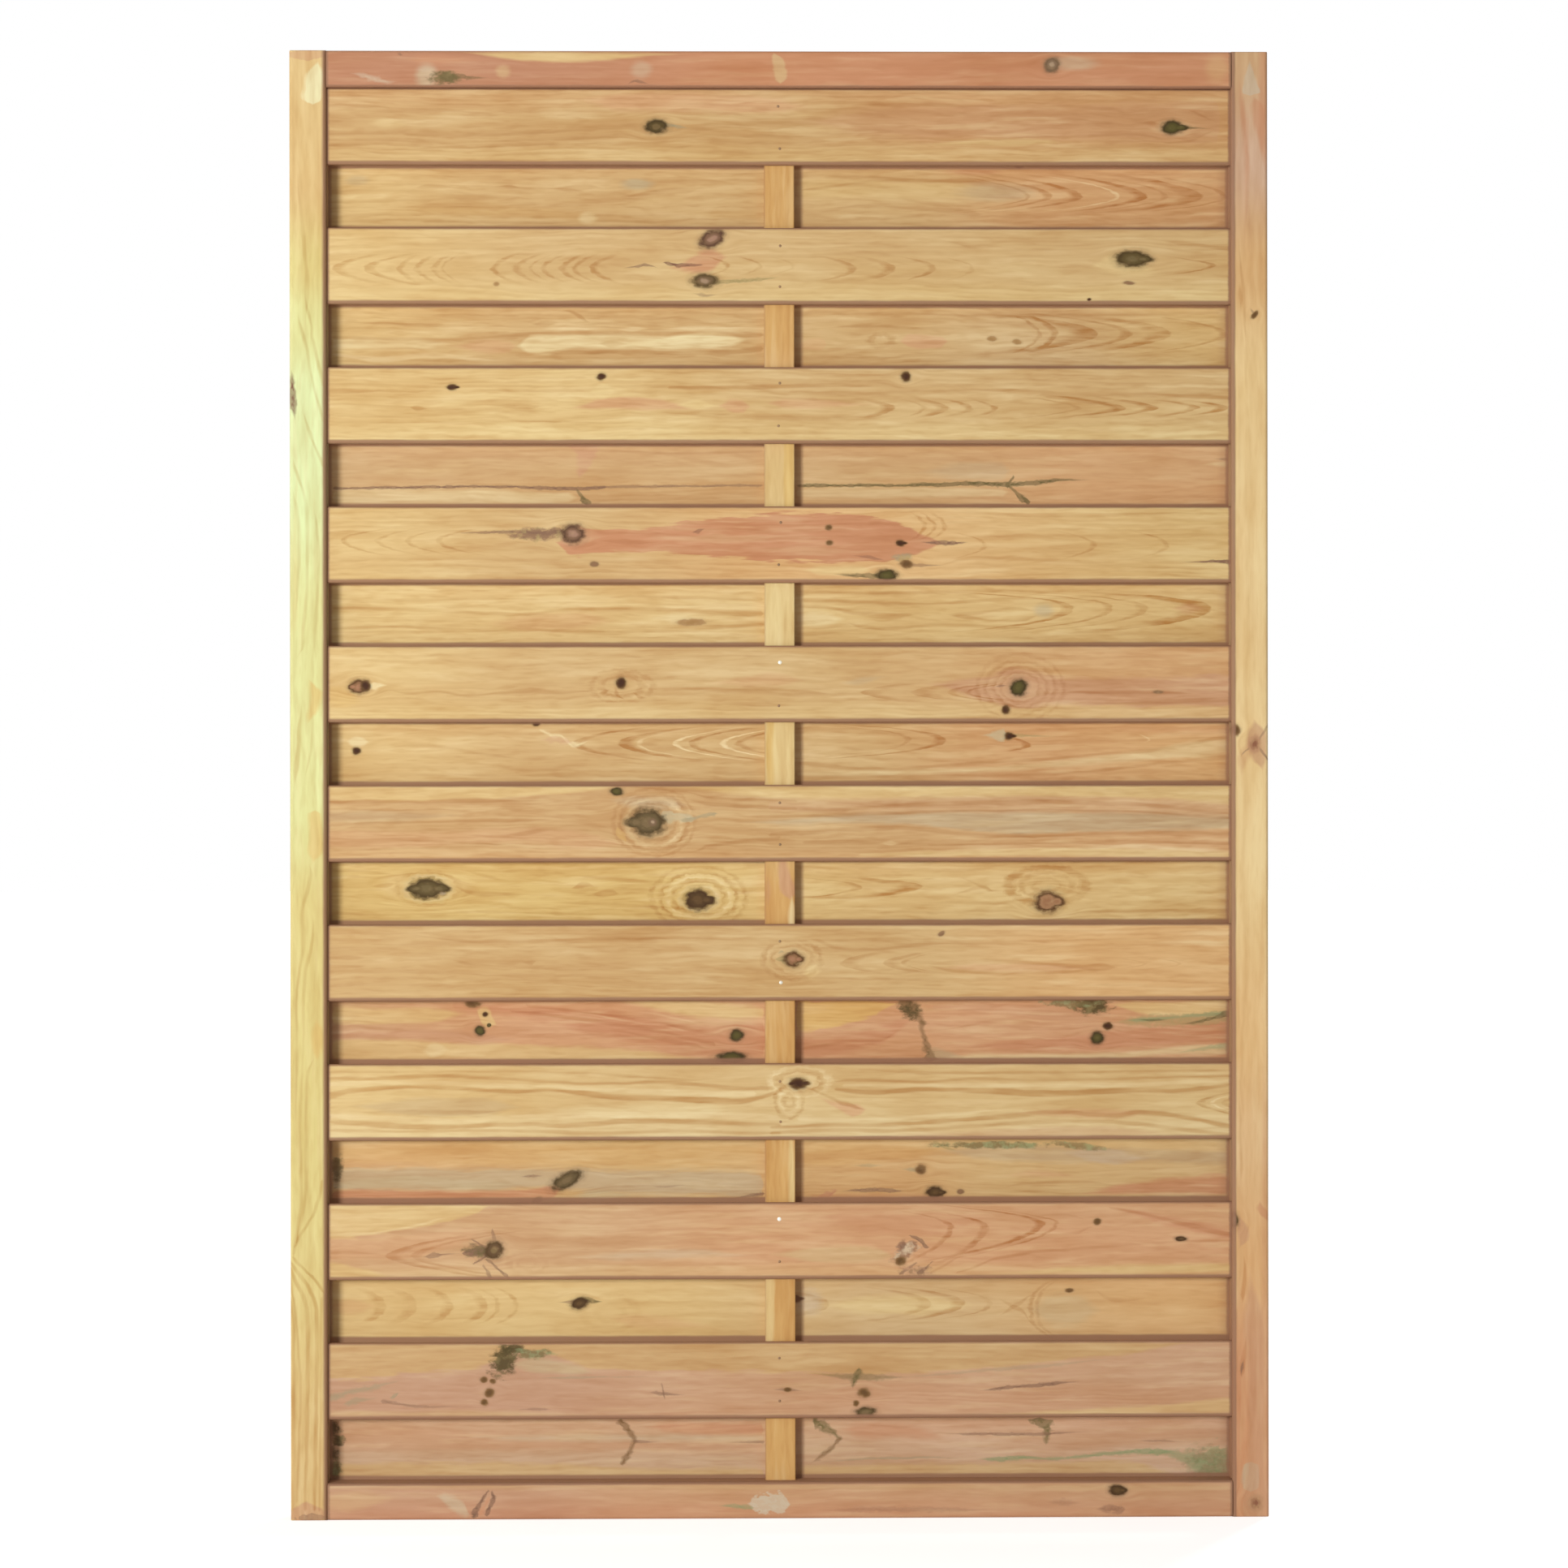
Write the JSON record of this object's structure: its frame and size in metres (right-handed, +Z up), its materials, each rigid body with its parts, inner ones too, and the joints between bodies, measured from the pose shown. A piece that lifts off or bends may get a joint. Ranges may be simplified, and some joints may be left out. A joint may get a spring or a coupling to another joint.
{
  "type": "slatted fence panel",
  "caption": "Upright framed fence panel of planed pine, closed by horizontal slats set alternately in front of and behind a centre batten.",
  "frame": {"origin": "middle of the left stile's outer face, where the panel is fixed to its post: half way up and half way through", "axes": "+X along the panel to the right stile, +Y from the front to the back, +Z up"},
  "size_m": [1.2, 0.045, 1.8],
  "materials": {
    "pale_sapwood": "planed softwood, pressure treated, matt",
    "stile_pine": "planed softwood, pressure treated, matt",
    "pink_heartwood": "planed softwood, pressure treated, matt",
    "batten_pine": "planed softwood, pressure treated, matt",
    "slat_pine": "planed softwood, pressure treated, matt"
  },
  "bodies": {
    "root": {"left_stile": "pale_sapwood", "right_stile": "stile_pine", "top_rail": "pink_heartwood", "bottom_rail": "pink_heartwood", "centre_batten": "batten_pine", "front_slat_01": "slat_pine", "rear_slat_01": "slat_pine", "front_slat_02": "slat_pine", "rear_slat_02": "slat_pine", "front_slat_03": "slat_pine", "rear_slat_03": "slat_pine", "front_slat_04": "slat_pine", "rear_slat_04": "slat_pine", "front_slat_05": "slat_pine", "rear_slat_05": "slat_pine", "front_slat_06": "slat_pine", "rear_slat_06": "slat_pine", "front_slat_07": "slat_pine", "rear_slat_07": "slat_pine", "front_slat_08": "slat_pine", "rear_slat_08": "slat_pine", "front_slat_09": "slat_pine", "rear_slat_09": "slat_pine", "front_slat_10": "slat_pine", "rear_slat_10": "slat_pine"}
  },
  "joints": []
}
